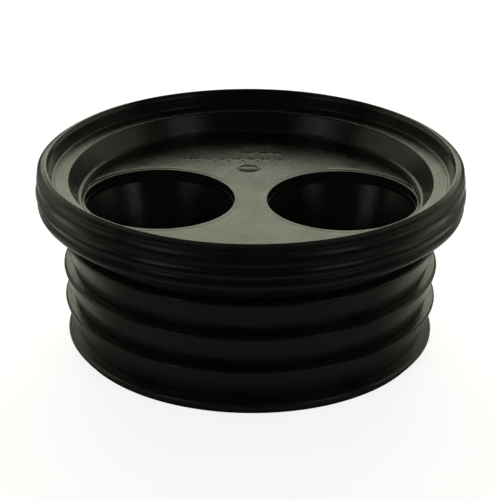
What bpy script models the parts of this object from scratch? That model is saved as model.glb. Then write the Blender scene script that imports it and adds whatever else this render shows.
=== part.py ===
"""Twin-inlet soil pipe adaptor: a barbed rubber stopper with a flange and two waste inlets.

The adaptor pushes into a 110 mm soil pipe socket until its flange seats on the socket's end, and a
waste pipe pushes into each of the two tapered inlets in its deck.

Frame: metres, +Z up and out of the inlets, the origin at the centre of the bottom edge, and the two
inlets side by side along X.

Every piece is a solid of its own.  The carrier is the core.  The rim seal snaps over the carrier's
tongue, the deck plate snaps under the carrier's inner lip, the inlet cones grip the edges of the
deck plate's holes, and the four barb rings sit in grooves round the carrier's barrel.
"""

from math import cos, pi, sin

import bmesh
import bpy

MM = 0.001

# ---- Driving dimensions ----------------------------------------------------------------------
HEIGHT = 55.2 * MM             # bottom edge to the crest of the lip
GAP = 0.3 * MM                 # clearance between neighbouring pieces
SEGMENTS = 48                  # facets round every large turned piece
INLET_SEGMENTS = 40            # facets round each inlet

# Flange ring
FLANGE_BOTTOM = 40.5 * MM
RIM_SEAT_RADIUS = 57.0 * MM    # outside of the carrier's flange, inside of the rim seal
TONGUE_REACH = 2.2 * MM
TONGUE_TOP = 47.5 * MM
TONGUE_BOTTOM = 45.0 * MM
LEDGE_RISE = 0.7 * MM          # the ledge climbs this much from the well to the rim seal
LIP_INNER_RADIUS = 59.1 * MM
LIP_FOOT_RADIUS = 58.0 * MM
LIP_CREST_RADIUS = 59.9 * MM
LIP_ROUND = 0.4 * MM           # half the width of the lip's flat crest
FLANGE_EDGE_RADIUS = 59.8 * MM
# Beads down the outside of the flange: top of bead, bottom of bead, crest radius
BEADS = (
    (54.7 * MM, 52.7 * MM, 62.1 * MM),
    (52.7 * MM, 48.8 * MM, 62.35 * MM),
    (48.8 * MM, 45.4 * MM, 62.7 * MM),
    (45.4 * MM, 41.0 * MM, 62.3 * MM),
)
BEAD_GROOVE_RADIUS = 61.4 * MM
BEAD_TOP_RADIUS = 61.1 * MM    # where the first bead leaves the lip
BEAD_FOOT_RADIUS = 60.2 * MM   # where the last bead turns under
BEAD_POINTS = 3

# Well and deck
WELL_TOP_RADIUS = 53.1 * MM
WELL_TOP = 50.0 * MM
WELL_FOOT_RADIUS = 50.6 * MM
WELL_FOOT = 44.6 * MM
STEP_RADIUS = 49.7 * MM        # inner lip that holds the deck plate down
DECK_TOP = 42.5 * MM
DECK_THICKNESS = 3.2 * MM
DECK_RADIUS = 50.2 * MM
DECK_EDGE_STEP = 0.5 * MM      # the deck's edge is this much thinner, to pass under the lip
HOLE_CHAMFER = 0.6 * MM

# Neck and barrel
NECK_RADIUS = 52.8 * MM
BARREL_RADIUS = 50.1 * MM
BORE_RADIUS = 48.6 * MM
GROOVE_DEPTH = 0.5 * MM
RING_TONGUE_HALF = 0.6 * MM

# Inlets
INLET_OFFSET = 26.7 * MM
HOLE_RADIUS = 21.7 * MM
CONE_MOUTH_RADIUS = 21.5 * MM
CONE_WALL = 1.4 * MM
CONE_TAPER = 0.375             # radius lost per unit of depth
CONE_SHOULDER = 39.0 * MM      # the cone starts to narrow here
CONE_THROAT = 24.2 * MM        # the cone ends here and a short straight lip begins
CONE_FOOT = 21.0 * MM
CONE_NECK_RADIUS = 22.0 * MM   # groove round the cone that the plate's lip sits in
CONE_BEAD_RADIUS = 22.7 * MM
CONE_BEAD_BOTTOM = 40.2 * MM
CONE_TOP = 40.6 * MM
RELIEF_FOOT = 35.0 * MM        # the barrel is relieved for the cones down to here
CUTTER_OVERSHOOT = 1.0 * MM    # cutters run this far past the faces they cut
INLETS = (("left", -INLET_OFFSET), ("right", INLET_OFFSET))

# Barb rings, from the top: the crease above each one and its crest, as (radius, height)
CREASES = (
    (52.8 * MM, 35.85 * MM),
    (52.5 * MM, 25.5 * MM),
    (52.2 * MM, 14.9 * MM),
    (51.6 * MM, 5.1 * MM),
)
CRESTS = (
    (55.2 * MM, 34.5 * MM),
    (55.1 * MM, 24.2 * MM),
    (54.9 * MM, 14.0 * MM),
    (54.4 * MM, 2.9 * MM),
)
BASE_RADIUS = 52.1 * MM        # outside of the bottom edge
# The point that rounds a barb's shoulder, and the one that swells its taper, as shares of the way
SHOULDER_OUT, SHOULDER_DOWN = 0.8, 0.55
BELLY_IN, BELLY_DOWN = 0.4, 0.5

# ---- Colours and finishes: base colour, roughness ----------------------------------------------
SOFT_RUBBER = ((0.012, 0.012, 0.011), 0.48)
FIRM_RUBBER = ((0.016, 0.016, 0.015), 0.52)
DECK_RUBBER = ((0.020, 0.020, 0.018), 0.55)


def make_collections():
    """Return the collection for the adaptor's pieces and the one for its cutters."""
    pieces = bpy.data.collections.new("soil_pipe_adaptor")
    cutters = bpy.data.collections.new("adaptor_cutters")
    for collection in (pieces, cutters):
        bpy.context.scene.collection.children.link(collection)
    return pieces, cutters


def material(name, finish):
    """Return a Principled material with the finish's colour and roughness."""
    colour, roughness = finish
    mat = bpy.data.materials.new(name)
    mat.use_nodes = True
    shader = mat.node_tree.nodes["Principled BSDF"]
    shader.inputs["Base Color"].default_value = (*colour, 1.0)
    shader.inputs["Roughness"].default_value = roughness
    shader.inputs["Metallic"].default_value = 0.0
    return mat


def finish_piece(obj, collection, finish):
    """Put a piece in its collection, with its own material."""
    for old in list(obj.users_collection):
        old.objects.unlink(obj)
    collection.objects.link(obj)
    obj.data.materials.clear()
    obj.data.materials.append(material(obj.name + "_material", finish))
    normals = obj.modifiers.new("flat_faces_stay_flat", "WEIGHTED_NORMAL")
    normals.keep_sharp = True
    return obj


def as_cutter(obj, collection):
    """Put a cutter in its collection, drawn as wire and left out of renders."""
    for old in list(obj.users_collection):
        old.objects.unlink(obj)
    collection.objects.link(obj)
    obj.hide_render = True
    obj.display_type = "WIRE"
    return obj


def turned(name, outline, segments=SEGMENTS):
    """Turn an outline of (radius, height) points, running down its outer side, about Z.

    An outline that starts on the axis ends there and stays open; any other is closed.
    """
    bm = bmesh.new()
    verts = [bm.verts.new((radius, 0.0, height)) for radius, height in outline]
    pairs = list(zip(verts, verts[1:]))
    if outline[0][0] > 0.0:
        pairs.append((verts[-1], verts[0]))
    for start, end in pairs:
        bm.edges.new((start, end))
    mesh = bpy.data.meshes.new(name)
    bm.to_mesh(mesh)
    bm.free()
    obj = bpy.data.objects.new(name, mesh)
    screw = obj.modifiers.new("turn", "SCREW")
    screw.axis = "Z"
    screw.angle = 2 * pi
    screw.steps = segments
    screw.render_steps = segments
    screw.use_merge_vertices = True
    screw.merge_threshold = 0.00001
    screw.use_smooth_shade = True
    return obj


def cut(obj, cutter):
    """Take the cutter's shape out of a piece."""
    boolean = obj.modifiers.new("cut_" + cutter.name, "BOOLEAN")
    boolean.operation = "DIFFERENCE"
    boolean.solver = "EXACT"
    boolean.object = cutter


def bead_arc(top, bottom, crest):
    """Return the points of one bead between its top and bottom heights, ends left out."""
    middle = (top + bottom) / 2
    half = (top - bottom) / 2
    points = []
    for index in range(BEAD_POINTS):
        angle = pi * (index + 0.5) / BEAD_POINTS
        height = middle + half * cos(angle)
        radius = BEAD_GROOVE_RADIUS + (crest - BEAD_GROOVE_RADIUS) * sin(angle)
        points.append((radius, height))
    return points


def cone_outer(height):
    """Return the outside radius of an inlet cone at a height."""
    return CONE_MOUTH_RADIUS + CONE_WALL - CONE_TAPER * (CONE_SHOULDER - height)


def rim_seal_outline():
    """Return the outline of the flange ring: lip, four beads, flat underside and inner groove."""
    bore = RIM_SEAT_RADIUS + GAP
    groove = RIM_SEAT_RADIUS + TONGUE_REACH + GAP
    ledge = WELL_TOP + LEDGE_RISE
    outline = [
        (bore, ledge),
        (LIP_FOOT_RADIUS, ledge),
        (LIP_INNER_RADIUS, HEIGHT - LIP_ROUND),
        (LIP_CREST_RADIUS - LIP_ROUND, HEIGHT),
        (LIP_CREST_RADIUS + LIP_ROUND, HEIGHT),
        (BEAD_TOP_RADIUS, BEADS[0][0]),
    ]
    for index, (top, bottom, crest) in enumerate(BEADS):
        outline += bead_arc(top, bottom, crest)
        if index < len(BEADS) - 1:
            outline.append((BEAD_GROOVE_RADIUS, bottom))
    outline += [
        (BEAD_FOOT_RADIUS, BEADS[-1][1]),
        (FLANGE_EDGE_RADIUS, FLANGE_BOTTOM),
        (bore, FLANGE_BOTTOM),
        (bore, TONGUE_BOTTOM - GAP),
        (groove, TONGUE_BOTTOM - GAP),
        (groove, TONGUE_TOP + GAP),
        (bore, TONGUE_TOP + GAP),
    ]
    return outline


def ring_span(index):
    """Return the heights of a barb ring's top and foot; the last ring's foot is the bottom edge."""
    top = CREASES[index][1] - GAP / 2
    if index == len(CREASES) - 1:
        return top, 0.0
    return top, CREASES[index + 1][1] + GAP / 2


def tongue_height(index):
    """Return the height of the middle of a barb ring's tongue."""
    return sum(ring_span(index)) / 2


def carrier_outline():
    """Return the outline of the core: flange block, well, deck groove, neck and barrel."""
    deck_bottom = DECK_TOP - DECK_THICKNESS
    lip_bottom = DECK_TOP - DECK_EDGE_STEP + GAP
    tongue = RIM_SEAT_RADIUS + TONGUE_REACH
    neck_foot = CREASES[0][1] + GAP / 2
    outline = [
        (WELL_TOP_RADIUS, WELL_TOP),
        (RIM_SEAT_RADIUS, WELL_TOP + LEDGE_RISE),
        (RIM_SEAT_RADIUS, TONGUE_TOP),
        (tongue, TONGUE_TOP),
        (tongue, TONGUE_BOTTOM),
        (RIM_SEAT_RADIUS, TONGUE_BOTTOM),
        (RIM_SEAT_RADIUS, FLANGE_BOTTOM),
        (NECK_RADIUS, FLANGE_BOTTOM),
        (NECK_RADIUS, neck_foot),
        (BARREL_RADIUS, neck_foot),
    ]
    for index in range(len(CRESTS)):
        middle = tongue_height(index)
        half = RING_TONGUE_HALF + GAP
        outline += [
            (BARREL_RADIUS, middle + half),
            (BARREL_RADIUS - GROOVE_DEPTH, middle + half),
            (BARREL_RADIUS - GROOVE_DEPTH, middle - half),
            (BARREL_RADIUS, middle - half),
        ]
    outline += [
        (BARREL_RADIUS, 0.0),
        (BORE_RADIUS, 0.0),
        (BORE_RADIUS, deck_bottom - GAP),
        (DECK_RADIUS + GAP, deck_bottom - GAP),
        (DECK_RADIUS + GAP, lip_bottom),
        (STEP_RADIUS, lip_bottom),
        (STEP_RADIUS, WELL_FOOT),
        (WELL_FOOT_RADIUS, WELL_FOOT),
    ]
    return outline


def between(start, end, radius_share, height_share):
    """Return the point that lies the given shares of the way from start to end."""
    radius = start[0] + (end[0] - start[0]) * radius_share
    height = start[1] + (end[1] - start[1]) * height_share
    return radius, height


def barb_ring_outline(index):
    """Return the outline of one barb ring, counted from the flange down."""
    bore = BARREL_RADIUS + GAP
    top, foot = ring_span(index)
    top_radius = CREASES[index][0]
    foot_radius = CREASES[index + 1][0] if index + 1 < len(CREASES) else BASE_RADIUS
    crest_radius, crest = CRESTS[index]
    middle = tongue_height(index)
    tongue = BARREL_RADIUS - GROOVE_DEPTH + GAP
    shoulder = between((top_radius, top), (crest_radius, crest), SHOULDER_OUT, SHOULDER_DOWN)
    belly = between((crest_radius, crest), (foot_radius, foot), BELLY_IN, BELLY_DOWN)
    return [
        (bore, top),
        (top_radius, top),
        shoulder,
        (crest_radius, crest),
        belly,
        (foot_radius, foot),
        (bore, foot),
        (bore, middle - RING_TONGUE_HALF),
        (tongue, middle - RING_TONGUE_HALF),
        (tongue, middle + RING_TONGUE_HALF),
        (bore, middle + RING_TONGUE_HALF),
    ]


def cone_outline():
    """Return the outline of one inlet cone: snap bead, grip groove, taper and straight throat."""
    plate_bottom = DECK_TOP - DECK_THICKNESS
    throat = CONE_MOUTH_RADIUS - CONE_TAPER * (CONE_SHOULDER - CONE_THROAT)
    return [
        (CONE_MOUTH_RADIUS, CONE_TOP),
        (CONE_BEAD_RADIUS, CONE_TOP),
        (CONE_BEAD_RADIUS, CONE_BEAD_BOTTOM),
        (CONE_NECK_RADIUS, CONE_BEAD_BOTTOM),
        (CONE_NECK_RADIUS, plate_bottom - GAP),
        (cone_outer(CONE_SHOULDER), plate_bottom - GAP),
        (throat + CONE_WALL, CONE_THROAT),
        (throat + CONE_WALL, CONE_FOOT),
        (throat, CONE_FOOT),
        (throat, CONE_THROAT),
        (CONE_MOUTH_RADIUS, CONE_SHOULDER),
    ]


def hole_cutter_outline():
    """Return the outline of the cutter for a deck hole: chamfer, bore and the bead's groove."""
    over = CUTTER_OVERSHOOT
    groove_top = CONE_TOP + GAP
    groove_bottom = CONE_BEAD_BOTTOM - GAP
    bottom = DECK_TOP - DECK_THICKNESS - over
    return [
        (0.0, DECK_TOP + over),
        (HOLE_RADIUS + HOLE_CHAMFER + over, DECK_TOP + over),
        (HOLE_RADIUS, DECK_TOP - HOLE_CHAMFER),
        (HOLE_RADIUS, groove_top),
        (CONE_BEAD_RADIUS + GAP, groove_top),
        (CONE_BEAD_RADIUS + GAP, groove_bottom),
        (CONE_NECK_RADIUS + GAP, groove_bottom),
        (CONE_NECK_RADIUS + GAP, bottom),
        (0.0, bottom),
    ]


def make_deck_plate(cutters):
    """Return the deck: a disc with a stepped edge and two stepped holes."""
    face_radius = STEP_RADIUS - GAP
    outline = [
        (0.0, DECK_TOP),
        (face_radius, DECK_TOP),
        (face_radius, DECK_TOP - DECK_EDGE_STEP),
        (DECK_RADIUS, DECK_TOP - DECK_EDGE_STEP),
        (DECK_RADIUS, DECK_TOP - DECK_THICKNESS),
        (0.0, DECK_TOP - DECK_THICKNESS),
    ]
    plate = turned("deck_plate", outline)
    for side, offset in INLETS:
        cutter = as_cutter(turned("hole_" + side, hole_cutter_outline(), INLET_SEGMENTS), cutters)
        cutter.location.x = offset
        cut(plate, cutter)
    return plate


def make_carrier(cutters):
    """Return the core, with its bore relieved where the inlet cones pass."""
    carrier = turned("carrier", carrier_outline())
    top = DECK_TOP - DECK_THICKNESS
    relief = [
        (0.0, top),
        (cone_outer(top) + GAP, top),
        (cone_outer(RELIEF_FOOT) + GAP, RELIEF_FOOT),
        (0.0, RELIEF_FOOT),
    ]
    for side, offset in INLETS:
        cutter = as_cutter(turned("relief_" + side, relief, INLET_SEGMENTS), cutters)
        cutter.location.x = offset
        cut(carrier, cutter)
    return carrier


def build():
    """Clear the scene and build the adaptor."""
    for old in list(bpy.data.objects):
        bpy.data.objects.remove(old, do_unlink=True)
    pieces, cutters = make_collections()
    finish_piece(make_carrier(cutters), pieces, FIRM_RUBBER)
    finish_piece(turned("rim_seal", rim_seal_outline()), pieces, SOFT_RUBBER)
    finish_piece(make_deck_plate(cutters), pieces, DECK_RUBBER)
    for side, offset in INLETS:
        cone = turned("inlet_cone_" + side, cone_outline(), INLET_SEGMENTS)
        cone.location.x = offset
        finish_piece(cone, pieces, SOFT_RUBBER)
    for index in range(len(CRESTS)):
        ring = turned("barb_ring_" + str(index + 1), barb_ring_outline(index))
        finish_piece(ring, pieces, SOFT_RUBBER)


build()
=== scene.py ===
"""Looks for the twin-inlet soil pipe adaptor: fine rubber meshes, materials, floor, lights and camera.

Outlines are in millimetres as (radius, height) or (radius, height, fillet), run down the outer side,
and are turned about the adaptor's axis.  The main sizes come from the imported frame's boxes.
"""

from math import ceil, cos, hypot, pi, radians, sin, sqrt, tan

import bmesh
import bpy
from mathutils import Matrix, Vector
from mathutils.geometry import delaunay_2d_cdt


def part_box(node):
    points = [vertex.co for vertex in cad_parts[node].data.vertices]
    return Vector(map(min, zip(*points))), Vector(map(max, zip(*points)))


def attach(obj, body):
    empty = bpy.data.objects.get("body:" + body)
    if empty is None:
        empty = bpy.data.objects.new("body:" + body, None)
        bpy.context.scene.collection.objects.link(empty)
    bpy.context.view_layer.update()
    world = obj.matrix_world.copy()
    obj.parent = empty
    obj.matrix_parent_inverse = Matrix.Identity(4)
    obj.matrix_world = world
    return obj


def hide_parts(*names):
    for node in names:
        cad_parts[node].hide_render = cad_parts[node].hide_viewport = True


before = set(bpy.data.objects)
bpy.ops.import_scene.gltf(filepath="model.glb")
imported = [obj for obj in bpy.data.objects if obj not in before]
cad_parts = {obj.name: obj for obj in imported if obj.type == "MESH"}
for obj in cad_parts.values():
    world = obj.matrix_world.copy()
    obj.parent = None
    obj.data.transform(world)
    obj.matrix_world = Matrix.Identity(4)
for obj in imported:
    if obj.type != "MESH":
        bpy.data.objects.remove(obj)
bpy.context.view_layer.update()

MM = 0.001
SEGMENTS = 256                 # facets round every large turned piece
INLET_SEGMENTS = 192           # facets round each inlet
SEAM = 0.06                    # open width of a joint between two rubber pieces
ARC_STEP = radians(22)         # angle that one facet of a fillet turns
SUPPORT = 0.12                 # distance of the edge loop that keeps a flat flat beside a fillet
MAX_BEND = 1.6                 # bend per millimetre at which an edge counts as fully exposed


def span(node):
    """Return the outer radius, the lowest and the highest height of a CAD node, in millimetres."""
    low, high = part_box(node)
    return (high.y - low.y) / 2 / MM, low.z / MM, high.z / MM


# ---- Sizes from the frame ----------------------------------------------------------------------
RIM_RADIUS, FLANGE_BOTTOM, LIP_TOP = span("rim_seal")
DECK_RADIUS, DECK_BOTTOM, DECK_TOP = span("deck_plate")
_, BASE, WELL_EDGE_TOP = span("carrier")
_, CONE_FOOT, CONE_TOP = span("inlet_cone_left")
INLET_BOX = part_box("inlet_cone_right")
INLET_OFFSET = (INLET_BOX[1].x + INLET_BOX[0].x) / 2 / MM
RINGS = [span("barb_ring_" + str(number)) for number in range(1, 5)]

# ---- Sizes of the rubber's own shapes ----------------------------------------------------------
SEAT_RADIUS = 57.0             # joint between the carrier's flange and the rim seal
TONGUE_REACH = 2.2             # the carrier's tongue, in the rim seal's groove
TONGUE_FOOT = 45.0
TONGUE_TOP = 47.5
WELL_TOP = 50.0
WELL_TOP_RADIUS = 53.1
WELL_FOOT = 44.6
WELL_FOOT_RADIUS = 50.2
STEP_RADIUS = 49.35            # edge of the deck's face, under the foot of the well
DECK_LIP = 0.5                 # how far the deck's snapped edge lies below its face
BORE_RADIUS = 48.6
BARREL_RADIUS = 50.1
NECK_RADIUS = 52.8
HOLE_RADIUS = 22.0
HOLE_FOOT_RADIUS = 21.72       # the hole draws in a little towards the cone
CONE_MOUTH_RADIUS = 21.5
CONE_LIP_RADIUS = 21.64        # the mouth flares to meet the deck's hole
CONE_NECK_RADIUS = 22.0        # groove round the cone that takes the hole's edge
CONE_COLLAR_RADIUS = 22.7
CONE_COLLAR_FOOT = 40.2
CONE_WALL = 1.4
CONE_TAPER = 0.375
CONE_SHOULDER = 39.0
CONE_THROAT = 24.2


# ---- Mesh tools --------------------------------------------------------------------------------
def fillet_arc(before, corner, after, size):
    """Return the points of an arc that rounds a corner, cut back where an edge is too short."""
    p = Vector(corner[:2])
    a = Vector(before[:2]) - p
    b = Vector(after[:2]) - p
    opening = a.angle(b)
    reach = min(size / tan(opening / 2), 0.48 * a.length, 0.48 * b.length)
    radius = reach * tan(opening / 2)
    middle = p + (a.normalized() + b.normalized()).normalized() * (radius / sin(opening / 2))
    start = p + a.normalized() * reach - middle
    turn = start.angle_signed(p + b.normalized() * reach - middle)
    steps = max(2, ceil(abs(turn) / ARC_STEP))
    points = []
    for step in range(steps + 1):
        angle = -turn * step / steps
        x = start.x * cos(angle) - start.y * sin(angle)
        y = start.x * sin(angle) + start.y * cos(angle)
        points.append((middle.x + x, middle.y + y))
    return points


def rounded(outline, closed=True):
    """Return an outline's points with its fillets drawn and edge loops beside every long flat."""
    count = len(outline)
    points = []
    for index, corner in enumerate(outline):
        inner = closed or 0 < index < count - 1
        if inner and len(corner) > 2 and corner[2] > 0:
            points += fillet_arc(outline[index - 1], corner, outline[(index + 1) % count], corner[2])
        else:
            points.append(tuple(corner[:2]))
    loops = []
    last = len(points) if closed else len(points) - 1
    for index in range(last):
        a = Vector(points[index])
        b = Vector(points[(index + 1) % len(points)])
        loops.append(tuple(a))
        if (b - a).length > 4 * SUPPORT:
            along = (b - a).normalized() * SUPPORT
            loops += [tuple(a + along), tuple(b - along)]
    if not closed:
        loops.append(points[-1])
    return loops


def wear_along(points):
    """Return how exposed each point of a closed outline is: 0 on flats and hollows, 1 on tight edges."""
    count = len(points)
    bends = []
    for index in range(count):
        a = Vector(points[index]) - Vector(points[index - 1])
        b = Vector(points[(index + 1) % count]) - Vector(points[index])
        bends.append(a.angle_signed(b, 0.0) / max(0.05, (a.length + b.length) / 2))
    area = sum(
        points[i - 1][0] * points[i][1] - points[i][0] * points[i - 1][1] for i in range(count)
    )
    outward = 1.0 if area < 0 else -1.0
    sharp = [min(1.0, max(0.0, outward * bend / MAX_BEND)) for bend in bends]
    return [(sharp[i - 1] + 2 * sharp[i] + sharp[(i + 1) % count]) / 4 for i in range(count)]


def make_object(name, bm, wear):
    """Turn a bmesh in millimetres into a smooth-shaded object in metres, with its wear attribute."""
    bmesh.ops.recalc_face_normals(bm, faces=bm.faces)
    if bm.calc_volume(signed=True) < 0:
        bmesh.ops.reverse_faces(bm, faces=bm.faces)
    bmesh.ops.scale(bm, vec=(MM, MM, MM), verts=bm.verts)
    mesh = bpy.data.meshes.new(name)
    bm.to_mesh(mesh)
    bm.free()
    mesh.shade_smooth()
    attribute = mesh.attributes.new("wear", "FLOAT", "POINT")
    attribute.data.foreach_set("value", wear)
    obj = bpy.data.objects.new(name, mesh)
    bpy.context.scene.collection.objects.link(obj)
    return obj


def turned(name, outline, worn, segments=SEGMENTS, centre_x=0.0, reshape=None):
    """Turn a closed outline about a vertical axis. reshape(angle, radius, height) may move a point.

    worn is the lowest radius, the highest radius and the lowest height of the edges that are open to
    rubbing; the others are inside a joint.
    """
    points = rounded(outline)
    wear = [
        share if worn[0] < point[0] < worn[1] and point[1] > worn[2] else 0.0
        for share, point in zip(wear_along(points), points)
    ]
    bm = bmesh.new()
    columns = []
    for segment in range(segments):
        angle = 2 * pi * segment / segments
        column = []
        for radius, height in points:
            if reshape:
                radius, height = reshape(angle, radius, height)
            column.append(bm.verts.new((centre_x + radius * cos(angle), radius * sin(angle), height)))
        columns.append(column)
    for segment in range(segments):
        here = columns[segment]
        there = columns[(segment + 1) % segments]
        for index in range(len(points)):
            after = (index + 1) % len(points)
            bm.faces.new((here[index], here[after], there[after], there[index]))
    return make_object(name, bm, wear * segments)


# ---- Flange ring -------------------------------------------------------------------------------
LEDGE_TOP = WELL_EDGE_TOP - 0.4
LIP_FOOT_RADIUS = 61.4         # where the lip's outside meets the first bead
LAST_GROOVE = 41.1
RIM_WAVE = 0.035               # how far the ring strays from round, and its lip from level
RIM_DROOP = 0.10
BEAD_STEPS = 9                 # facets down one bead
BEAD_FULLNESS = 0.85           # 1 is a plain sine, less is squarer
# Beads down the outside: top, bottom, crest radius, radius of the groove under the bead, and how
# high in the bead its crest lies (1 is the middle, less is higher)
BEADS = (
    (54.2, 52.7, RIM_RADIUS - 0.75, 61.65, 1.0),
    (52.7, 48.8, RIM_RADIUS - 0.40, 61.90, 1.0),
    (48.8, 45.4, RIM_RADIUS - 0.05, 61.85, 1.0),
    (45.4, LAST_GROOVE, RIM_RADIUS - 0.45, 59.9, 0.7),
)


def bead_points(top, bottom, crest, groove_above, groove_below, lean):
    """Return the points of one swelling bead, from the groove above it to just over the one below."""
    points = []
    for step in range(BEAD_STEPS):
        share = step / BEAD_STEPS
        floor = groove_above + (groove_below - groove_above) * share
        radius = floor + (crest - floor) * sin(pi * share ** lean) ** BEAD_FULLNESS
        points.append((radius, top + (bottom - top) * share))
    return points


def rim_outline():
    """Return the outline of the flange ring."""
    bore = SEAT_RADIUS + SEAM
    slot = SEAT_RADIUS + TONGUE_REACH + 0.1
    slot_foot = TONGUE_FOOT - 0.05
    slot_top = TONGUE_TOP + 0.05
    outline = [
        (bore, LEDGE_TOP, 0.04),
        (57.8, LEDGE_TOP + 0.03, 0.5),
        (58.55, LIP_TOP - 1.3, 0.8),
        (59.3, LIP_TOP - 0.13, 0.2),
        (59.65, LIP_TOP - 0.10, 0.3),
        (60.9, LIP_TOP - 0.65, 0.8),
    ]
    groove = LIP_FOOT_RADIUS
    for top, bottom, crest, groove_below, lean in BEADS:
        outline += bead_points(top, bottom, crest, groove, groove_below, lean)
        groove = groove_below
    outline += [
        (groove, LAST_GROOVE),
        (59.4, FLANGE_BOTTOM, 0.4),
        (bore, FLANGE_BOTTOM, 0.15),
        (bore, slot_foot, 0.2),
        (slot, slot_foot, 0.2),
        (slot, slot_top, 0.2),
        (bore, slot_top, 0.2),
    ]
    return outline


def rim_wobble(angle, radius, height):
    """Return a point of the rim moved by the slight waviness of soft moulded rubber."""
    share = max(0.0, min(1.0, (radius - 58.0) / 3.0))
    wave = sin(5 * angle + 0.7) + 0.7 * sin(9 * angle + 2.1) + 0.5 * sin(14 * angle + height)
    droop = 0.5 + 0.5 * sin(7 * angle + 1.3)
    top = max(0.0, (height - 52.0) / 3.2)
    return radius - RIM_WAVE * share * (2.2 + wave), height - RIM_DROOP * top * share * droop


# ---- Carrier -----------------------------------------------------------------------------------
RELIEF_FOOT = 34.0             # lowest height at which the bore makes way for the cones
RELIEF_STEP = 0.5
RELIEF_STEPS = 10
RELIEF_GAP = 0.3
BARB_GROOVE_HALF = 0.9         # grooves round the barrel for the barb rings' tongues
BARB_GROOVE_DEPTH = 0.5


def cone_outer(height):
    """Return the outside radius of an inlet cone at a height."""
    return CONE_MOUTH_RADIUS + CONE_WALL - CONE_TAPER * (CONE_SHOULDER - height)


def carrier_outline():
    """Return the outline of the core: flange block, well, lip over the deck, neck and barrel."""
    lip_bottom = DECK_TOP - DECK_LIP + SEAM
    tongue = SEAT_RADIUS + TONGUE_REACH
    neck_foot = RINGS[0][2] + SEAM
    groove = BARREL_RADIUS - BARB_GROOVE_DEPTH
    deck_seat = DECK_RADIUS + 0.1
    outline = [
        (WELL_TOP_RADIUS, WELL_TOP, 0.55),
        (SEAT_RADIUS, LEDGE_TOP, 0.04),
        (SEAT_RADIUS, TONGUE_TOP, 0.2),
        (tongue, TONGUE_TOP, 0.3),
        (tongue, TONGUE_FOOT, 0.3),
        (SEAT_RADIUS, TONGUE_FOOT, 0.2),
        (SEAT_RADIUS, FLANGE_BOTTOM, 0.15),
        (NECK_RADIUS, FLANGE_BOTTOM, 0.9),
        (NECK_RADIUS, neck_foot, 0.05),
        (BARREL_RADIUS, neck_foot, 0.1),
    ]
    for _, foot, top in RINGS:
        middle = (top + foot) / 2
        outline += [
            (BARREL_RADIUS, middle + BARB_GROOVE_HALF, 0.1),
            (groove, middle + BARB_GROOVE_HALF, 0.1),
            (groove, middle - BARB_GROOVE_HALF, 0.1),
            (BARREL_RADIUS, middle - BARB_GROOVE_HALF, 0.1),
        ]
    outline += [(BARREL_RADIUS, BASE, 0.15), (BORE_RADIUS, BASE, 0.5)]
    outline += [(BORE_RADIUS, RELIEF_FOOT + RELIEF_STEP * step) for step in range(RELIEF_STEPS)]
    outline += [
        (BORE_RADIUS, DECK_BOTTOM - SEAM, 0.1),
        (deck_seat, DECK_BOTTOM - SEAM, 0.1),
        (deck_seat, lip_bottom, 0.1),
        (STEP_RADIUS, lip_bottom, 0.12),
        (STEP_RADIUS, WELL_FOOT, 0.3),
        (WELL_FOOT_RADIUS, WELL_FOOT - 0.05, 0.25),
    ]
    return outline


def cone_relief(angle, radius, height):
    """Return a point of the barrel's bore pushed out of the way of the inlet cones."""
    if radius > BORE_RADIUS + 0.15 or not RELIEF_FOOT < height < DECK_BOTTOM:
        return radius, height
    clear = cone_outer(height) + RELIEF_GAP
    across = INLET_OFFSET * sin(angle)
    if abs(across) >= clear:
        return radius, height
    return max(radius, INLET_OFFSET * abs(cos(angle)) + sqrt(clear ** 2 - across ** 2)), height


# ---- Barb rings --------------------------------------------------------------------------------
RING_HALF_GAP = 0.15           # half of the joint between two rings, taken up by soft rubber
BARB_TONGUE_HALF = 0.6
BARB_TONGUE_REACH = 0.2
BARB_WAVE = 0.03               # how far a free edge strays from round and from level
BARB_DROOP = 0.04
# Crease over the barb (radius), crest (radius, height) and foot (radius), from the flange down
BARBS = (
    (52.8, 55.2, 34.5, 52.5),
    (52.5, 55.1, 24.2, 52.2),
    (52.2, 54.9, 14.0, 51.6),
    (51.6, 54.4, 2.9, 52.1),
)


def barb_outline(index):
    """Return the outline of one barb ring, with a soft shoulder, crest and taper."""
    foot, top = RINGS[index][1:]
    crease, crest, crest_height, foot_radius = BARBS[index]
    bore = BARREL_RADIUS + SEAM
    middle = (top + foot) / 2
    drop = top - crest_height
    fall = crest_height - foot
    last = index == len(BARBS) - 1
    upper = top if index == 0 else top + RING_HALF_GAP - SEAM / 2
    lower = foot if last else foot - RING_HALF_GAP + SEAM / 2
    tongue = bore - BARB_TONGUE_REACH
    return [
        (bore, upper, 0.05),
        (crease - 0.6, upper, 0.0),
        (crest - 0.75, crest_height + 0.42 * drop, 1.6),
        (crest, crest_height, 1.1),
        (foot_radius + 0.53 * (crest - foot_radius), foot + 0.5 * fall, 4.0),
        (foot_radius - 0.05, lower, 0.1 if last else 0.12),
        (bore, lower, 0.05),
        (bore, middle - BARB_TONGUE_HALF, 0.05),
        (tongue, middle - BARB_TONGUE_HALF, 0.05),
        (tongue, middle + BARB_TONGUE_HALF, 0.05),
        (bore, middle + BARB_TONGUE_HALF, 0.05),
    ]


def barb_wobble(angle, radius, height):
    """Return a point of a barb ring moved by the slight waviness of its free edge."""
    share = max(0.0, min(1.0, (radius - 52.5) / 2.5))
    wave = sin(4 * angle + 0.4 * height) + 0.6 * sin(11 * angle + height)
    droop = 1.0 + sin(6 * angle + height)
    return radius - BARB_WAVE * share * (1.6 + wave), height - BARB_DROOP * share * droop


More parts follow.
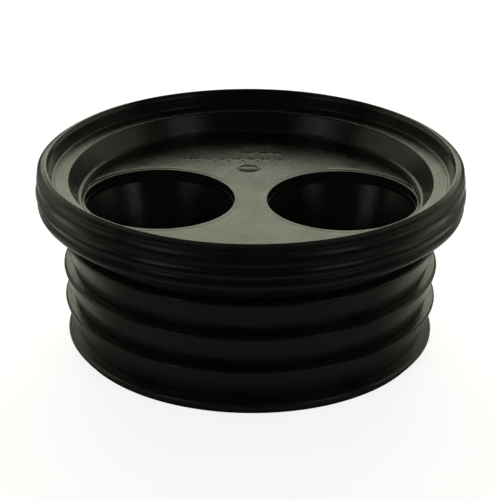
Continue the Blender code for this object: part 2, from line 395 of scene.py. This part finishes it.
# ---- Inlet cones -------------------------------------------------------------------------------
def cone_outline():
    """Return the outline of one inlet cone."""
    throat = CONE_MOUTH_RADIUS - CONE_TAPER * (CONE_SHOULDER - CONE_THROAT)
    return [
        (CONE_LIP_RADIUS, CONE_TOP, 0.08),
        (CONE_COLLAR_RADIUS, CONE_TOP, 0.15),
        (CONE_COLLAR_RADIUS, CONE_COLLAR_FOOT, 0.15),
        (CONE_NECK_RADIUS, CONE_COLLAR_FOOT, 0.1),
        (CONE_NECK_RADIUS, CONE_SHOULDER, 0.1),
        (cone_outer(CONE_SHOULDER), CONE_SHOULDER, 0.4),
        (throat + CONE_WALL, CONE_THROAT, 1.5),
        (throat + CONE_WALL, CONE_FOOT, 0.5),
        (throat, CONE_FOOT, 0.4),
        (throat, CONE_THROAT, 2.0),
        (CONE_LIP_RADIUS, CONE_SHOULDER + 0.2, 1.0),
    ]


# ---- Deck plate --------------------------------------------------------------------------------
HOLE_FILLET = 0.15
HOLE_POINTS = 168              # points round a hole
GRID = 2.4                     # spacing of the deck's inner points
GRID_ROW = 0.866               # height of one row of the triangular grid
CLEAR_OF_HOLE = 3.0
CLEAR_OF_MARK = 2.0
EDGE_ZONE = 0.3                # strips beside the deck's edge and its holes with no inner points
HOLE_ZONE = 0.25
TROUGH_START = 0.9             # faint trough round each hole, by distance from its edge
TROUGH_WIDTH = 1.6
TROUGH_DEPTH = 0.07
TROUGH_RINGS = (1.1, 1.4, 1.7, 2.0, 2.3, 2.6)
# Plain moulding marks: rows of short bars as (depth, first bar, last bar), and one small oval
MARK_ROWS = ((30.9, -20.0, 13.0), (36.0, -3.0, 9.0))
MARK_PITCH = 2.2
MARK_LENGTHS = (1.9, 1.1, 1.7, 1.3)    # bars lie across and along the row in turn
MARK_HEIGHT = 0.20
MARK_HALF_WIDTH = 0.36
MARK_SLOPE = 0.22              # width of a bar's sloping side
MARK_REACHES = (0.14, 0.25, MARK_HALF_WIDTH, 0.46)
MARK_POINTS = 20               # points in a ring round a bar
MARK_SPINE_POINTS = 5
MARK_WEAR = 3.0                # wear for each millimetre that a mark stands up
HOLE_WEAR = 0.25
OVAL_MIDDLE = (-0.7, 23.6)
OVAL_HALF = (3.2, 2.4)
OVAL_BARS = 14
OVAL_OVERLAP = 1.15            # each bar of the oval runs a little into the next


def circle(centre_x, radius, count):
    """Return the points of a circle in the deck's plane."""
    return [
        (centre_x + radius * cos(2 * pi * i / count), radius * sin(2 * pi * i / count))
        for i in range(count)
    ]


def row_spines():
    """Return the middles, directions and lengths of the bars in the rows of moulding marks."""
    spines = []
    for depth, first, last in MARK_ROWS:
        for step in range(int((last - first) / MARK_PITCH) + 1):
            middle = Vector((first + step * MARK_PITCH, depth))
            along = Vector((step % 2, 1 - step % 2))
            spines.append((middle, along, MARK_LENGTHS[step % len(MARK_LENGTHS)]))
    return spines


def oval_spines():
    """Return the middles, directions and lengths of the short bars of a small plain oval mark."""
    spines = []
    for step in range(OVAL_BARS):
        angle = 2 * pi * step / OVAL_BARS
        out = Vector((OVAL_HALF[0] * cos(angle), OVAL_HALF[1] * sin(angle)))
        along = Vector((-OVAL_HALF[0] * sin(angle), OVAL_HALF[1] * cos(angle)))
        length = OVAL_OVERLAP * 2 * pi * along.length / OVAL_BARS
        spines.append((Vector(OVAL_MIDDLE) + out, along.normalized(), length))
    return spines


SPINES = row_spines() + oval_spines()


def mark_points():
    """Return points along and in rings round every moulding mark, for a fine mesh there."""
    points = []
    for middle, along, length in SPINES:
        across = Vector((along.y, -along.x))
        for i in range(MARK_SPINE_POINTS):
            share = i / (MARK_SPINE_POINTS - 1) - 0.5
            points.append(tuple(middle + along * (length * share)))
        for reach in MARK_REACHES:
            for i in range(MARK_POINTS):
                angle = 2 * pi * i / MARK_POINTS
                end = length / 2 if cos(angle) > 0 else -length / 2
                offset = along * (end + reach * cos(angle)) + across * (reach * sin(angle))
                points.append(tuple(middle + offset))
    return points


def mark_lift(x, y):
    """Return how far the moulding marks stand up at a point of the deck."""
    here = Vector((x, y))
    lift = 0.0
    for middle, along, length in SPINES:
        out = here - middle
        slide = max(-length / 2, min(length / 2, out.dot(along)))
        share = max(0.0, min(1.0, (MARK_HALF_WIDTH - (out - along * slide).length) / MARK_SLOPE))
        lift = max(lift, MARK_HEIGHT * share * share * (3 - 2 * share))
    return lift


def hole_distance(x, y):
    """Return a point's distance from the nearer hole's edge."""
    return hypot(abs(x) - INLET_OFFSET, y) - HOLE_RADIUS


def deck_height(x, y):
    """Return the height of the deck's face: flat, with a faint trough round each hole and marks."""
    out = hole_distance(x, y)
    trough = 0.0
    if 0.0 < out - TROUGH_START < TROUGH_WIDTH:
        trough = TROUGH_DEPTH * sin(pi * (out - TROUGH_START) / TROUGH_WIDTH) ** 2
    return DECK_TOP - trough + mark_lift(x, y)


def add_face_sheet(bm, outer_radius, hole_radius, height, extra):
    """Add a flat sheet with two holes to a bmesh. Return its outer loop and its two hole loops."""
    loops = [circle(0.0, outer_radius, SEGMENTS)]
    loops += [circle(side * INLET_OFFSET, hole_radius, HOLE_POINTS) for side in (-1, 1)]
    points = []
    edges = []
    for loop in loops:
        first = len(points)
        points += loop
        edges += [(first + i, first + (i + 1) % len(loop)) for i in range(len(loop))]
    boundary = len(points)
    edge_zone = outer_radius - EDGE_ZONE
    hole_zone = hole_radius - HOLE_RADIUS + HOLE_ZONE
    points += [
        p for p in extra if hypot(*p) < edge_zone and hole_distance(*p) > hole_zone
    ]
    flat = [Vector(p) for p in points]
    found, _, faces, origin, _, _ = delaunay_2d_cdt(flat, edges, [], 0, 1e-5)
    verts = [bm.verts.new((p.x, p.y, height(p.x, p.y))) for p in found]
    for face in faces:
        x = sum(found[i].x for i in face) / 3
        y = sum(found[i].y for i in face) / 3
        if hypot(x, y) < outer_radius and hole_distance(x, y) > hole_radius - HOLE_RADIUS:
            bm.faces.new([verts[i] for i in face])
    by_source = {}
    for vert, sources in zip(verts, origin):
        for source in sources:
            if source < boundary:
                by_source[source] = vert
    result = []
    first = 0
    for loop in loops:
        result.append([by_source[first + i] for i in range(len(loop))])
        first += len(loop)
    return result


def add_wall(bm, start, centre_x, rings, end):
    """Join a loop of vertices to another through rings of (radius, height)."""
    count = len(start)
    above = start
    for radius, height in rings:
        below = [bm.verts.new((*p, height)) for p in circle(centre_x, radius, count)]
        join_loops(bm, above, below)
        above = below
    join_loops(bm, above, end)


def join_loops(bm, above, below):
    """Add the faces between two loops of the same length."""
    for i in range(len(above)):
        j = (i + 1) % len(above)
        bm.faces.new((above[i], above[j], below[j], below[i]))


def deck_grid():
    """Return the deck's inner points: a triangular grid, rings round the holes and the marks."""
    points = []
    rows = int(DECK_RADIUS / GRID) + 1
    for row in range(-rows, rows + 1):
        shift = GRID / 2 if row % 2 else 0.0
        for column in range(-rows, rows + 1):
            p = (column * GRID + shift, row * GRID * GRID_ROW)
            near_mark = any((Vector(p) - spine[0]).length < CLEAR_OF_MARK for spine in SPINES)
            if hole_distance(*p) > CLEAR_OF_HOLE and not near_mark:
                points.append(p)
    for side in (-1, 1):
        for out in TROUGH_RINGS:
            points += circle(side * INLET_OFFSET, HOLE_RADIUS + out, HOLE_POINTS)
    return points + mark_points()


def make_deck():
    """Return the deck plate."""
    bm = bmesh.new()
    edge = STEP_RADIUS - SEAM
    face_radius = edge - SUPPORT
    top_hole = HOLE_RADIUS + HOLE_FILLET
    bottom_hole = CONE_NECK_RADIUS + SEAM
    top_loops = add_face_sheet(bm, face_radius, top_hole, deck_height, deck_grid())
    bottom_loops = add_face_sheet(
        bm, DECK_RADIUS - 0.15, bottom_hole, lambda x, y: DECK_BOTTOM, deck_grid()
    )
    rim = [
        (edge - 0.05, DECK_TOP - 0.01),
        (edge - 0.01, DECK_TOP - 0.04),
        (edge, DECK_TOP - 0.10),
        (edge, DECK_TOP - DECK_LIP),
        (DECK_RADIUS, DECK_TOP - DECK_LIP),
        (DECK_RADIUS, DECK_BOTTOM + 0.15),
    ]
    add_wall(bm, top_loops[0], 0.0, rim, bottom_loops[0])
    turns = [radians(15 * step) for step in range(1, 7)]
    hole = [
        (top_hole - HOLE_FILLET * sin(turn), DECK_TOP - HOLE_FILLET * (1 - cos(turn)))
        for turn in turns
    ]
    seat = CONE_TOP + SEAM
    collar_radius = CONE_COLLAR_RADIUS + 0.1
    collar_foot = CONE_COLLAR_FOOT - SEAM
    hole += [
        (HOLE_FOOT_RADIUS, seat + 0.15),
        (HOLE_FOOT_RADIUS, seat),
        (collar_radius, seat),
        (collar_radius, collar_foot),
        (bottom_hole, collar_foot),
    ]
    for side, top_loop, bottom_loop in zip((-1, 1), top_loops[1:], bottom_loops[1:]):
        add_wall(bm, top_loop, side * INLET_OFFSET, hole, bottom_loop)
    wear = []
    for vert in bm.verts:
        out = hole_distance(vert.co.x, vert.co.y)
        on_edge = vert.co.z > DECK_TOP - 1.0 and out < HOLE_FILLET
        raised = max(0.0, vert.co.z - DECK_TOP)
        wear.append(HOLE_WEAR if on_edge else min(1.0, MARK_WEAR * raised))
    deck = make_object("deck_with_inlet_holes", bm, wear)
    deck.data.set_sharp_from_angle(angle=radians(50))
    return deck


# ---- Materials ---------------------------------------------------------------------------------
class Nodes:
    """Adds nodes to a material and links them."""

    def __init__(self, material):
        self.tree = material.node_tree
        self.shader = self.tree.nodes["Principled BSDF"]

    def add(self, kind, inputs=None, **settings):
        """Add a node, set its settings, and set or link its inputs. Return the node."""
        node = self.tree.nodes.new("ShaderNode" + kind)
        for name, value in settings.items():
            setattr(node, name, value)
        for name, value in (inputs or {}).items():
            self.put(node.inputs[name], value)
        return node

    def put(self, socket, value):
        """Link a socket to a node's output, or set it to a value."""
        if isinstance(value, bpy.types.NodeSocket):
            self.tree.links.new(value, socket)
        else:
            socket.default_value = value

    def math(self, operation, *values):
        """Return the result of a math node."""
        return self.add("Math", dict(enumerate(values)), operation=operation).outputs[0]

    def ramp(self, value, low, high, to_low=0.0, to_high=1.0):
        """Return a value mapped from one range to another, kept inside it."""
        inputs = {
            "Value": value,
            "From Min": low,
            "From Max": high,
            "To Min": to_low,
            "To Max": to_high,
        }
        return self.add("MapRange", inputs).outputs["Result"]

    def noise(self, vector, size, detail=3.0, roughness=0.55):
        """Return noise whose features are about a size in millimetres."""
        inputs = {
            "Vector": vector,
            "Scale": 1.0 / (size * MM),
            "Detail": detail,
            "Roughness": roughness,
        }
        return self.add("TexNoise", inputs).outputs["Fac"]

    def bump(self, inputs):
        """Return the normal of a bump node."""
        return self.add("Bump", inputs).outputs["Normal"]

    def mix(self, share, first, second):
        """Return a blend of two colours."""
        node = self.add("Mix", data_type="RGBA")
        self.put(node.inputs["Factor"], share)
        self.put(node.inputs["A"], first)
        self.put(node.inputs["B"], second)
        return node.outputs["Result"]


STRETCH = 14.0                 # how many times longer than high the flow lines are
MEAN_RADIUS = 55               # radius at which the flow lines have their true length
RUBBED = (0.040, 0.040, 0.036, 1.0)
DUST = (0.075, 0.073, 0.066, 1.0)


def round_coordinates(nodes, position, stretch):
    """Return coordinates that follow the turned shape, drawn out along the turn."""
    parts = nodes.add("SeparateXYZ", {"Vector": position}).outputs
    turn = nodes.math("ARCTAN2", parts["Y"], parts["X"])
    x_squared = nodes.math("MULTIPLY", parts["X"], parts["X"])
    y_squared = nodes.math("MULTIPLY", parts["Y"], parts["Y"])
    radius = nodes.math("SQRT", nodes.math("ADD", x_squared, y_squared))
    around = nodes.math("MULTIPLY", turn, MEAN_RADIUS * MM / stretch)
    return nodes.add("CombineXYZ", {"X": around, "Y": radius, "Z": parts["Z"]}).outputs["Vector"]


def rubber(name, dark, pale, roughness, grain, lines):
    """Return moulded black rubber: fine grain, flow lines round the turn, bloom, and rubbed edges."""
    material = bpy.data.materials.new(name)
    material.use_nodes = True
    nodes = Nodes(material)
    position = nodes.add("TexCoord").outputs["Object"]
    turned_position = round_coordinates(nodes, position, STRETCH)
    bloom = nodes.noise(position, 9.0, 4.0, 0.6)
    mottle = nodes.noise(position, 1.7, 3.0, 0.6)
    fine = nodes.noise(position, 0.28, 2.0, 0.5)
    flow = nodes.noise(turned_position, 0.9, 3.0, 0.6)
    wear = nodes.add("Attribute", attribute_name="wear").outputs["Fac"]
    rub = nodes.math("MULTIPLY", wear, nodes.ramp(nodes.noise(position, 3.0, 3.0), 0.38, 0.66))
    specks = nodes.ramp(nodes.noise(position, 0.5, 1.0), 0.74, 0.80)
    broad = nodes.math("MULTIPLY", bloom, 0.65)
    clouds = nodes.math("ADD", broad, nodes.math("MULTIPLY", mottle, 0.35))
    shade = nodes.ramp(clouds, 0.38, 0.64)
    base = nodes.mix(shade, (*dark, 1.0), (*pale, 1.0))
    rubbed = nodes.mix(nodes.math("MULTIPLY", rub, 0.55), base, RUBBED)
    dusty = nodes.mix(nodes.math("MULTIPLY", specks, 0.35), rubbed, DUST)
    nodes.put(nodes.shader.inputs["Base Color"], dusty)
    uneven = nodes.ramp(bloom, 0.35, 0.65, roughness - 0.04, roughness + 0.05)
    streaked = nodes.math("ADD", uneven, nodes.ramp(flow, 0.3, 0.7, -0.03, 0.03))
    polished = nodes.math("SUBTRACT", streaked, nodes.math("MULTIPLY", rub, 0.07))
    nodes.put(nodes.shader.inputs["Roughness"], polished)
    skin = nodes.bump({"Height": fine, "Strength": grain, "Distance": 0.03 * MM})
    ripple = nodes.bump({"Height": flow, "Strength": lines, "Distance": 0.06 * MM, "Normal": skin})
    swell = nodes.bump({"Height": bloom, "Strength": 0.35, "Distance": 0.25 * MM, "Normal": ripple})
    nodes.put(nodes.shader.inputs["Normal"], swell)
    return material


SOFT_RUBBER = rubber(
    "soft_black_rubber", (0.0115, 0.0115, 0.0113), (0.0200, 0.0200, 0.0196), 0.29, 0.35, 0.45
)
FIRM_RUBBER = rubber(
    "firm_black_rubber", (0.0100, 0.0100, 0.0097), (0.0180, 0.0180, 0.0172), 0.27, 0.30, 0.35
)
DECK_RUBBER = rubber(
    "deck_black_rubber", (0.0080, 0.0080, 0.0074), (0.0150, 0.0150, 0.0136), 0.27, 0.45, 0.10
)


def place(obj, node, material):
    """Ride a piece on the one body, in place of its CAD node and material."""
    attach(obj, "root")
    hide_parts(node)
    obj.data.materials.append(material)


# Edges open to rubbing on each turned piece, as turned() takes them
RIM_WORN = (57.6, 60.6, 52.0)
CORE_WORN = (49.0, 56.5, 43.0)
CONE_WORN = (12.0, 18.0, 0.0)
BARB_WORN = (54.0, 56.0, 0.0)

rim = turned("flange_rim", rim_outline(), RIM_WORN, reshape=rim_wobble)
place(rim, "rim_seal", SOFT_RUBBER)
core = turned("core", carrier_outline(), CORE_WORN, reshape=cone_relief)
place(core, "carrier", FIRM_RUBBER)
place(make_deck(), "deck_plate", DECK_RUBBER)
for side, sign in (("left", -1), ("right", 1)):
    name = "tapered_inlet_" + side
    cone = turned(name, cone_outline(), CONE_WORN, INLET_SEGMENTS, sign * INLET_OFFSET)
    place(cone, "inlet_cone_" + side, SOFT_RUBBER)
for index in range(len(BARBS)):
    number = str(index + 1)
    ring = turned("sealing_barb_" + number, barb_outline(index), BARB_WORN, reshape=barb_wobble)
    place(ring, "barb_ring_" + number, SOFT_RUBBER)


# ---- Floor, card, lights and camera ------------------------------------------------------------
STAGE_RADIUS = 4.0             # metres, as every length of the stage is
STAGE_SIDES = 96
CARD_DEPTH = 0.5 * MM
LENS = 144.1
CAMERA_PLACE = (-0.12 * MM, -539.0 * MM, 272.7 * MM)
CAMERA_DIP = 0.4291            # radians below level
CAMERA_ROLL = radians(0.5)
WARM = (0.98, 1.0, 0.77)
WHITE = (1.0, 1.0, 1.0)
MIDDLE = (0.0, 0.0, 0.03)      # point that the lights face


def make_floor():
    """Make a plain pale floor that the rubber doesn't mirror."""
    bpy.ops.mesh.primitive_circle_add(vertices=STAGE_SIDES, radius=STAGE_RADIUS, fill_type="NGON")
    floor = bpy.context.object
    floor.name = "floor"
    material = bpy.data.materials.new("pale_floor")
    material.use_nodes = True
    shader = material.node_tree.nodes["Principled BSDF"]
    shader.inputs["Base Color"].default_value = (0.9, 0.9, 0.9, 1.0)
    shader.inputs["Roughness"].default_value = 0.9
    shader.inputs["Specular IOR Level"].default_value = 0.1
    shader.inputs["Emission Color"].default_value = (1.0, 1.0, 1.0, 1.0)
    shader.inputs["Emission Strength"].default_value = 0.85
    floor.data.materials.append(material)
    floor.visible_glossy = False
    floor.visible_diffuse = False


def make_bounce_card():
    """Make a card just under the floor that only reflections see.

    It is dim in front, brighter at the sides and behind with a dim band between, and fades out far
    away and right under the adaptor.
    """
    bpy.ops.mesh.primitive_circle_add(
        vertices=STAGE_SIDES, radius=STAGE_RADIUS, fill_type="NGON", location=(0.0, 0.0, -CARD_DEPTH)
    )
    card = bpy.context.object
    card.name = "bounce_card"
    material = bpy.data.materials.new("bounce_card")
    material.use_nodes = True
    nodes = Nodes(material)
    position = nodes.add("TexCoord").outputs["Object"]
    depth = nodes.add("SeparateXYZ", {"Vector": position}).outputs["Y"]
    distance = nodes.add("VectorMath", {0: position}, operation="LENGTH").outputs["Value"]
    front = nodes.ramp(depth, -0.13, -0.09, 0.008, 0.09)
    side = nodes.math("ADD", front, nodes.ramp(depth, -0.03, 0.03, 0.0, 0.62))
    gap = nodes.math("ADD", side, nodes.ramp(depth, 0.032, 0.042, 0.0, -0.60))
    back = nodes.math("ADD", gap, nodes.ramp(depth, 0.06, 0.12, 0.0, 0.50))
    spread = nodes.math("MULTIPLY", back, nodes.ramp(distance, 0.20, 0.50, 1.0, 0.1))
    glow = nodes.math("MULTIPLY", spread, nodes.ramp(distance, 0.052, 0.062, 0.1, 1.0))
    nodes.shader.inputs["Base Color"].default_value = (0.0, 0.0, 0.0, 1.0)
    nodes.shader.inputs["Specular IOR Level"].default_value = 0.0
    nodes.shader.inputs["Emission Color"].default_value = (1.0, 1.0, 0.84, 1.0)
    nodes.put(nodes.shader.inputs["Emission Strength"], glow)
    card.data.materials.append(material)
    card.visible_camera = False
    card.visible_diffuse = False
    card.visible_shadow = False


def softbox(name, position, target, width, height, radiance, colour=WHITE):
    """Make an area light of a given radiance, facing a target and hidden from the camera."""
    data = bpy.data.lights.new(name, "AREA")
    data.shape = "RECTANGLE"
    data.size = width
    data.size_y = height
    data.energy = radiance * pi * width * height
    data.color = colour
    light = bpy.data.objects.new(name, data)
    light.location = position
    light.rotation_euler = (Vector(target) - Vector(position)).to_track_quat("-Z", "Y").to_euler()
    light.visible_camera = False
    bpy.context.scene.collection.objects.link(light)
    return light


def make_world():
    """Give the camera a white surround that sheds no light of its own."""
    world = bpy.data.worlds.new("white_surround")
    bpy.context.scene.world = world
    world.use_nodes = True
    background = world.node_tree.nodes["Background"]
    background.inputs["Color"].default_value = (1.0, 1.0, 1.0, 1.0)
    background.inputs["Strength"].default_value = 1.0
    for ray in ("diffuse", "glossy", "transmission", "scatter"):
        setattr(world.cycles_visibility, ray, False)


def make_camera():
    """Put the camera where it sees the adaptor from the front and 25 degrees above."""
    data = bpy.data.cameras.new("camera")
    data.lens = LENS
    data.sensor_width = 36.0
    camera = bpy.data.objects.new("camera", data)
    camera.location = CAMERA_PLACE
    aim = Matrix.Rotation(pi / 2 - CAMERA_DIP, 3, "X") @ Matrix.Rotation(CAMERA_ROLL, 3, "Z")
    camera.rotation_euler = aim.to_euler()
    bpy.context.scene.collection.objects.link(camera)
    bpy.context.scene.camera = camera


make_floor()
make_bounce_card()
make_world()
make_camera()
# Each light's name, place, target, width, height, radiance and colour
softbox("back_softbox", (0.0, 1.5, 0.70), MIDDLE, 1.65, 1.0, 1.79, WARM)
softbox("front_glow", (0.0, -1.7, 0.55), MIDDLE, 4.0, 1.2, 0.012)
softbox("ceiling", (0.0, -0.3, 1.8), MIDDLE, 3.6, 2.4, 0.022)
softbox("high_back", (0.0, 0.95, 1.45), MIDDLE, 2.0, 0.7, 0.22, WARM)
fill = softbox("front_fill", (0.0, -1.7, 0.75), MIDDLE, 4.0, 1.6, 0.035)
fill.visible_glossy = False
bounce = softbox("floor_bounce", (0.0, -0.30, 0.0003), (0.0, -0.30, 1.0), 1.6, 1.0, 0.13)
bounce.visible_glossy = False
for sign in (-1, 1):
    softbox("front_light", (sign * 0.96, -0.88, 0.62), MIDDLE, 0.45, 0.5, 0.8)
    softbox("side_wall", (sign * 1.3, 0.60, 0.50), MIDDLE, 1.9, 0.95, 0.5, WARM)
bpy.context.scene.view_settings.view_transform = "Standard"
